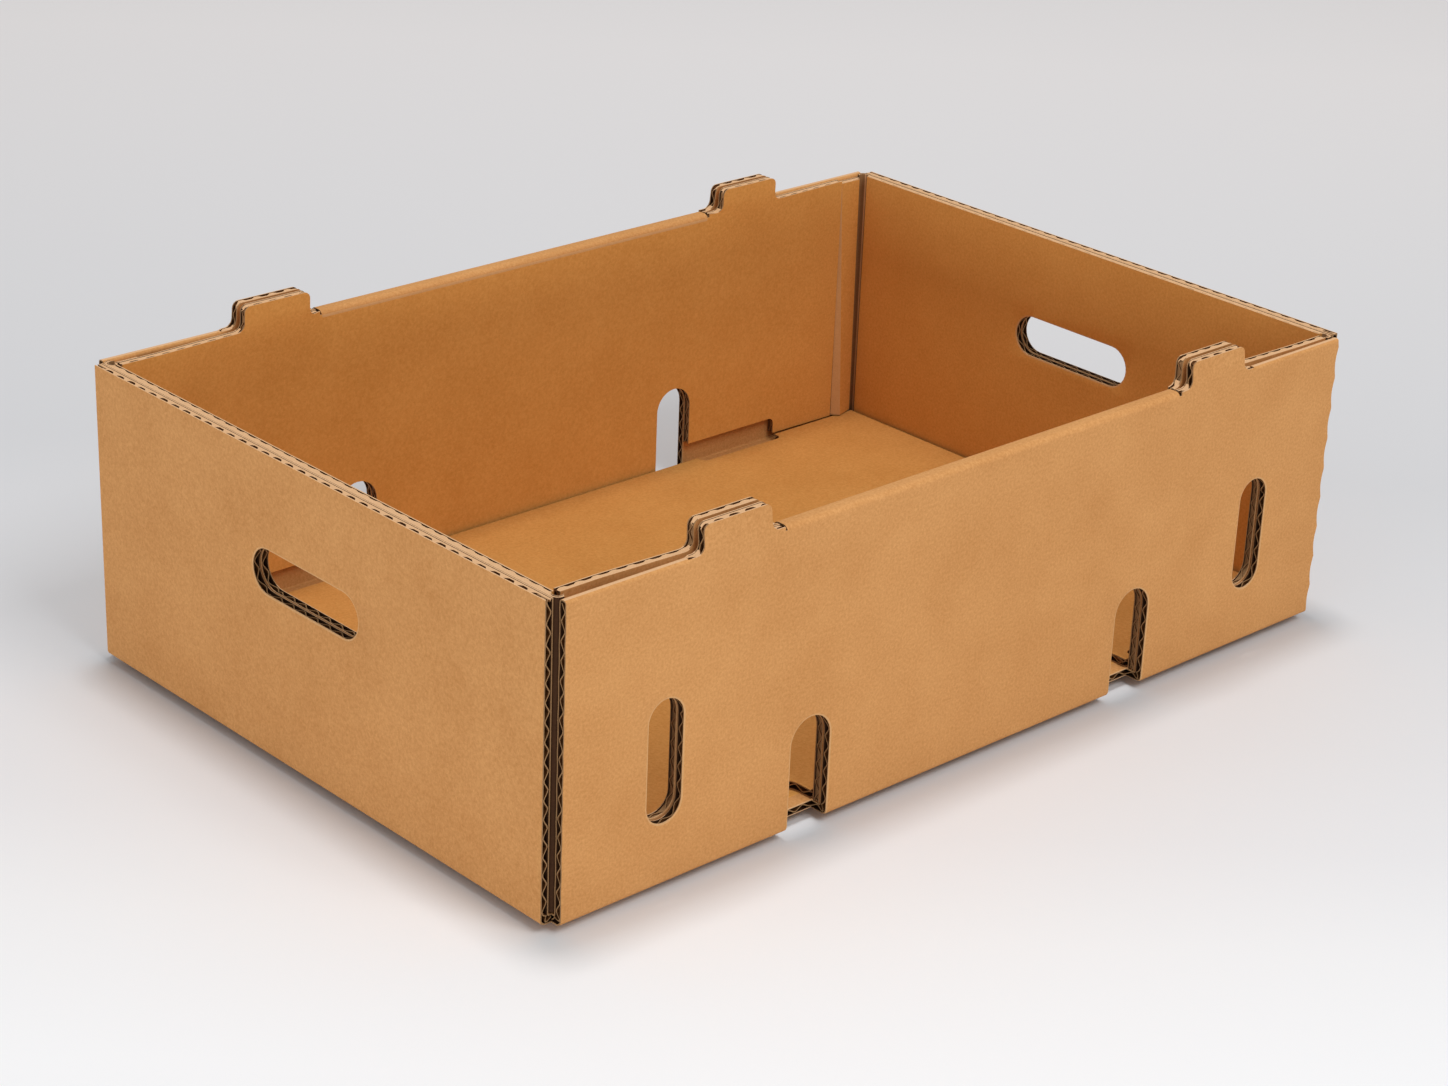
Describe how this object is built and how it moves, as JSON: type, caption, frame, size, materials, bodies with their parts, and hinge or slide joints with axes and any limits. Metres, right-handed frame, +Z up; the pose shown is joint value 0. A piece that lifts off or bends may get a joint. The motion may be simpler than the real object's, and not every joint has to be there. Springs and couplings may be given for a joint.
{
  "type": "corrugated cardboard tray box",
  "caption": "Open-topped brown corrugated tray with double walls, stacking tabs, hand holes in the ends, vent slots and arched notches at the foot of the long walls.",
  "frame": {"origin": "centre of the footprint, on the ground under the floor panel", "axes": "+X along the long walls, the front long wall with the vent slots faces -Y, +Z up from the ground to the rim"},
  "size_m": [0.6, 0.4, 0.191],
  "materials": {
    "body_board": "plain kraft corrugated board, matt",
    "liner_board": "plain kraft corrugated board, matt",
    "pad_board": "plain kraft corrugated board, matt"
  },
  "bodies": {
    "root": {"tray_body": "body_board", "left_end_liner": "liner_board", "right_end_liner": "liner_board", "floor_pad": "pad_board"}
  },
  "joints": []
}
